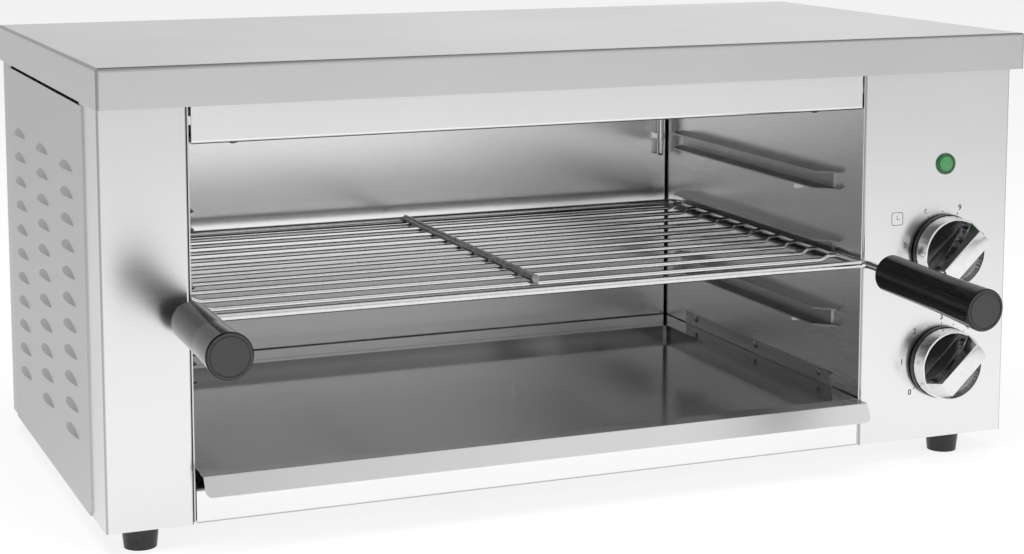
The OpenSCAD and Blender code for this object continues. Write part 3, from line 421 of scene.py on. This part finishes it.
def shaped_knob(name, node, body, height):
    """The CAD knob with the floors of its scoops tilted and its edges rounded.

    Its scoops are marked, so that a painted reflection can darken the plating in them.
    """
    pointer_turn, floor_tilt = math.radians(43), math.radians(7)
    floor_y, bar_half = -0.008, 0.0071
    knob = bpy.data.objects.new(name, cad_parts[node].data.copy())
    scene.collection.objects.link(knob)
    to_middle = Matrix.Translation((-control_x, -face_y, -height))
    to_bar = Matrix.Rotation(pointer_turn, 4, "Y") @ to_middle
    knob.data.transform(to_bar)
    bpy.ops.object.select_all(action="DESELECT")
    knob.select_set(True)
    bpy.context.view_layer.objects.active = knob
    bpy.ops.object.mode_set(mode="EDIT")
    bpy.ops.mesh.select_all(action="SELECT")
    bpy.ops.mesh.remove_doubles(threshold=0.000002)
    bpy.ops.mesh.dissolve_limited(angle_limit=math.radians(0.6))
    bpy.ops.object.mode_set(mode="OBJECT")
    for vertex in knob.data.vertices:
        if abs(vertex.co.y - floor_y) < 0.0001:
            vertex.co.y -= (abs(vertex.co.z) - bar_half) * math.tan(floor_tilt)
    bevel = knob.modifiers.new("rounded", "BEVEL")
    bevel.width = 0.00035
    bevel.segments = 2
    bevel.limit_method = "ANGLE"
    bevel.angle_limit = math.radians(32)
    bpy.ops.object.modifier_apply(modifier="rounded")
    scooped = knob.data.attributes.new("scooped", "FLOAT", "FACE")
    for face in knob.data.polygons:
        middle, facing = face.center, face.normal
        above_floor = middle.y < floor_y + 0.0002
        in_floor = above_floor and middle.y > floor_y - 0.0021 and facing.y < -0.98
        in_wall = above_floor and abs(middle.z) < bar_half + 0.0014 and abs(facing.z) > 0.7
        scooped.data[face.index].value = float(in_floor or in_wall)
    knob.data.transform(to_bar.inverted())
    bpy.ops.object.shade_smooth_by_angle(angle=math.radians(35))
    knob.data.materials.clear()
    knob.data.materials.append(finish)
    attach(knob, body)
    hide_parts(node)


timer_z, heat_z = 0.139, 0.0645
shaped_knob("timer_knob_plated", "timer_knob", "timer_control", timer_z)
shaped_knob("heat_knob_plated", "regulator_knob", "heat_control", heat_z)

finish, tree, shader = start_finish("black ring moulding", (0.015, 0.015, 0.015), 0.0, 0.30)
speck = grain(tree, 600, detail=2.0)
tinted(tree, shader, between(tree, speck, 0.010, 0.022))
bumped(tree, shader, speck, 0.05)
finish_nodes(finish, "timer_knob_base", "regulator_knob_base")

finish, tree, shader = start_finish("matt black housing", (0.03, 0.03, 0.03), 0.0, 0.55)
speck = grain(tree, 900, detail=2.0)
tinted(tree, shader, between(tree, speck, 0.020, 0.045))
bumped(tree, shader, speck, 0.25)
finish_nodes(finish, "timer_housing", "regulator_housing", "cable_gland")

# ---- pilot lamp ----
# A green bezel with a domed lens clipped into the panel. The plastic is translucent, so
# that the lamp behind it shows when the grill is on.
def green_plastic(name, colour, roughness):
    finish, tree, shader = start_finish(name, colour, 0.0, roughness)
    depth_tone = grain(tree, 200, detail=2.0)
    tinted(tree, shader, between(tree, depth_tone, 0.85, 1.0), colour)
    shader.inputs["Subsurface Weight"].default_value = 0.3
    shader.inputs["Subsurface Radius"].default_value = (0.001, 0.004, 0.002)
    shader.inputs["Coat Weight"].default_value = 0.5
    return finish


finish_nodes(green_plastic("dark green bezel", (0.012, 0.085, 0.026), 0.15), "lamp_bezel")
finish_nodes(green_plastic("clear green lens", (0.055, 0.27, 0.085), 0.10), "lamp_lens")

# ---- feet ----
# Moulded black rubber feet, tapered, screwed to the base pan.
finish, tree, shader = start_finish("black rubber", (0.015, 0.015, 0.015), 0.0, 0.35)
scuff = grain(tree, 250, detail=4.0)
tinted(tree, shader, between(tree, scuff, 0.010, 0.024))
bumped(tree, shader, scuff, 0.1)
finish_nodes(finish, "foot_front_left", "foot_front_right", "foot_rear_left", "foot_rear_right")


# ---- dial printing ----
# Dark ink screened onto the panel: numbers and ticks round each knob, and a small clock
# beside the timer. Each mark is a film a few hundredths of a millimetre thick.
def ink_piece(name, pieces):
    """Joins marks into one piece that rides on the cabinet."""
    bpy.ops.object.select_all(action="DESELECT")
    for piece in pieces:
        piece.select_set(True)
    bpy.context.view_layer.objects.active = pieces[0]
    bpy.ops.object.join()
    joined = bpy.context.object
    joined.name = name
    joined.data.materials.clear()
    joined.data.materials.append(ink)
    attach(joined, "cabinet")


film = 0.00003


def on_panel(mark, x, z, turn=0.0):
    """Stands a flat mark up against the panel, turned about its own middle."""
    bpy.ops.object.select_all(action="DESELECT")
    mark.select_set(True)
    bpy.context.view_layer.objects.active = mark
    mark.location = (x, face_y - film, z)
    mark.rotation_euler = (math.pi / 2, -turn, 0)
    mark.rotation_mode = "XYZ"
    bpy.ops.object.transform_apply(location=True, rotation=True, scale=True)
    return mark


def printed_text(words, height):
    """Flat letters and figures; height is that of a figure."""
    figure_share = 0.7
    bpy.ops.object.select_all(action="DESELECT")
    bpy.ops.object.text_add()
    text = bpy.context.object
    text.data.body = words
    text.data.size = height / figure_share
    text.data.align_x, text.data.align_y = "CENTER", "CENTER"
    text.data.extrude = 0.00002
    text.data.offset = 0.00012
    bpy.ops.object.convert(target="MESH")
    return bpy.context.object


def printed_bar(width, height):
    """A flat bar with rounded ends; a square one becomes a dot."""
    bpy.ops.object.select_all(action="DESELECT")
    bpy.ops.mesh.primitive_plane_add(size=1)
    bar = bpy.context.object
    bar.scale = (width, height, 1)
    bpy.ops.object.transform_apply(scale=True)
    bpy.ops.object.mode_set(mode="EDIT")
    bpy.ops.mesh.select_all(action="SELECT")
    bpy.ops.mesh.bevel(offset=min(width, height) * 0.3, segments=3, affect="VERTICES")
    bpy.ops.mesh.select_all(action="SELECT")
    bpy.ops.mesh.extrude_region_move(TRANSFORM_OT_translate={"value": (0, 0, film)})
    bpy.ops.mesh.select_all(action="SELECT")
    bpy.ops.mesh.normals_make_consistent(inside=False)
    bpy.ops.object.mode_set(mode="OBJECT")
    return bar


ink, tree, shader = start_finish("dial ink", (0.05, 0.05, 0.05), 0.0, 0.5)
thin = grain(tree, 1500, detail=3.0)
tinted(tree, shader, between(tree, thin, 0.04, 0.12))


def dial(name, z, start, step, words, tick_r=0.0256, word_r=0.0298):
    """A word and a tick at every step, clockwise from start, and a dot halfway between."""
    marks = []
    for i in range(2 * len(words) - 1):
        turn = math.radians(start - step * i / 2)
        out = Vector((math.cos(turn), math.sin(turn)))
        if i % 2:
            marks.append(on_panel(printed_bar(0.0008, 0.0008), control_x + out.x * tick_r,
                                  z + out.y * tick_r))
            continue
        marks.append(on_panel(printed_bar(0.0018, 0.0005), control_x + out.x * tick_r,
                              z + out.y * tick_r, turn))
        if words[i // 2]:
            marks.append(on_panel(printed_text(words[i // 2], 0.0036),
                                  control_x + out.x * word_r, z + out.y * word_r))
    ink_piece(name, marks)


dial("timer_dial_print", timer_z, 223, 52.2, ["0", "3", "6", "9", "12", "15"])
dial("heat_dial_print", heat_z, 219, 43, ["0", "1", "2", "3", "4", "5", "6"])


def clock_sign(x, z):
    """A small clock: a frame with rounded corners and two hands."""
    bpy.ops.object.select_all(action="DESELECT")
    bpy.ops.mesh.primitive_plane_add(size=0.0086)
    outline = bpy.context.object
    bpy.ops.object.mode_set(mode="EDIT")
    bpy.ops.mesh.select_all(action="SELECT")
    bpy.ops.mesh.bevel(offset=0.0014, segments=4, affect="VERTICES")
    bpy.ops.mesh.select_all(action="SELECT")
    bpy.ops.mesh.inset(thickness=0.0004)
    bpy.ops.mesh.delete(type="ONLY_FACE")
    bpy.ops.mesh.select_all(action="SELECT")
    bpy.ops.mesh.extrude_region_move(TRANSFORM_OT_translate={"value": (0, 0, film)})
    bpy.ops.mesh.select_all(action="SELECT")
    bpy.ops.mesh.normals_make_consistent(inside=False)
    bpy.ops.object.mode_set(mode="OBJECT")
    ink_piece("clock_sign_print", [on_panel(outline, x, z),
                                   on_panel(printed_bar(0.0004, 0.0026), x - 0.0002, z + 0.0009),
                                   on_panel(printed_bar(0.0020, 0.0004), x + 0.0008, z - 0.0005)])


clock_sign(0.2139, 0.1618)
